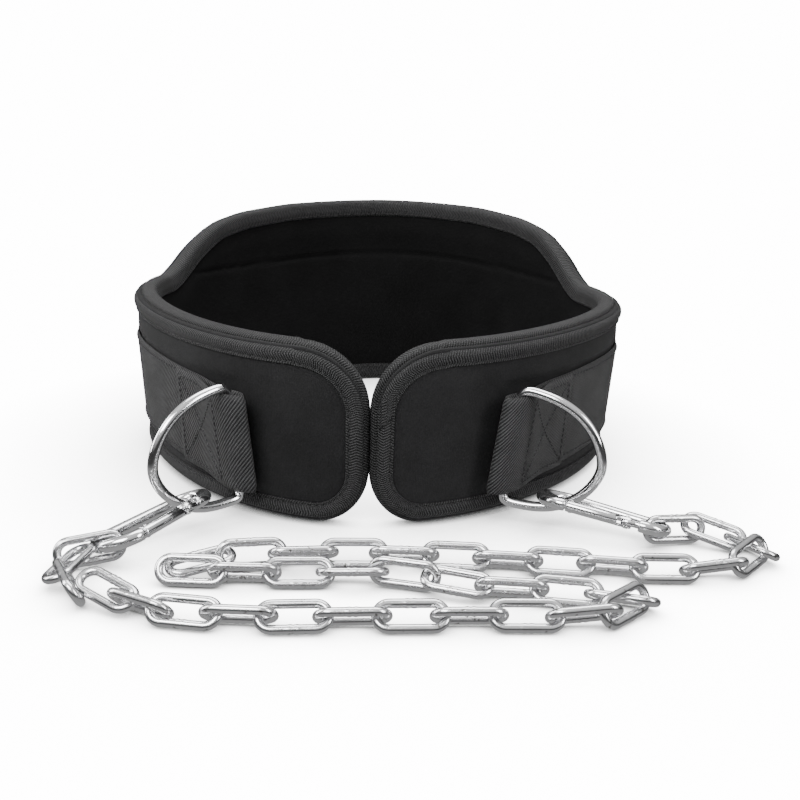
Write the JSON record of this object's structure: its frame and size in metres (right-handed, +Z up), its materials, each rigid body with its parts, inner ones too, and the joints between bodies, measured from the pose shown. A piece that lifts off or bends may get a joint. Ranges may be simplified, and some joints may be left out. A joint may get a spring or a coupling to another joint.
{
  "type": "weightlifting dip belt",
  "caption": "Padded belt with a raised back, standing closed on its edge, with a webbing strap, steel rings, spring hooks and a chain lying in front.",
  "frame": {"origin": "middle of the object's box, at the floor that it stands on", "axes": "+Z up, -Y to the front where the belt's ends meet and the chain lies, +X to the right as seen from the front"},
  "size_m": [0.3422, 0.4202, 0.1265],
  "materials": {
    "cloth": "fine dark grey weave over foam",
    "lining": "near black lining",
    "tape": "ribbed black binding tape",
    "webbing": "coarse black webbing",
    "plated_steel": "polished plated steel",
    "chain_steel": "bright zinc plated steel"
  },
  "bodies": {
    "belt": {"outer_panel": "cloth", "inner_pad": "lining", "edge_binding": "tape", "webbing_strap": "webbing", "left_ring": "plated_steel", "right_ring": "plated_steel", "left_hook_body": "plated_steel", "right_hook_body": "plated_steel", "link_01": "chain_steel", "link_02": "chain_steel", "link_03": "chain_steel", "link_04": "chain_steel", "link_05": "chain_steel", "link_06": "chain_steel", "link_07": "chain_steel", "link_08": "chain_steel", "link_09": "chain_steel", "link_10": "chain_steel", "link_11": "chain_steel", "link_12": "chain_steel", "link_13": "chain_steel", "link_14": "chain_steel", "link_15": "chain_steel", "link_16": "chain_steel", "link_17": "chain_steel", "link_18": "chain_steel", "link_19": "chain_steel", "link_20": "chain_steel", "link_21": "chain_steel", "link_22": "chain_steel", "link_23": "chain_steel", "link_24": "chain_steel", "link_25": "chain_steel", "link_26": "chain_steel", "link_27": "chain_steel", "link_28": "chain_steel", "link_29": "chain_steel", "link_30": "chain_steel", "link_31": "chain_steel", "link_32": "chain_steel", "link_33": "chain_steel", "link_34": "chain_steel", "link_35": "chain_steel", "link_36": "chain_steel", "link_37": "chain_steel", "link_38": "chain_steel"},
    "left_gate": {"left_hook_gate": "plated_steel"},
    "right_gate": {"right_hook_gate": "plated_steel"}
  },
  "joints": [
    {"name": "left_gate_hinge", "type": "hinge", "parent": "belt", "child": "left_gate", "pos_m": [-0.10143, -0.12206, 0.01682], "axis": [0.3233, -0.0666, -0.944], "range_deg": [0, 22], "stiffness_Nm_per_rad": 0.02, "springref_deg": -11.46},
    {"name": "right_gate_hinge", "type": "hinge", "parent": "belt", "child": "right_gate", "pos_m": [0.10185, -0.10101, 0.01324], "axis": [-0.1981, -0.2089, -0.9577], "range_deg": [0, 14], "stiffness_Nm_per_rad": 0.02, "springref_deg": -11.46}
  ]
}
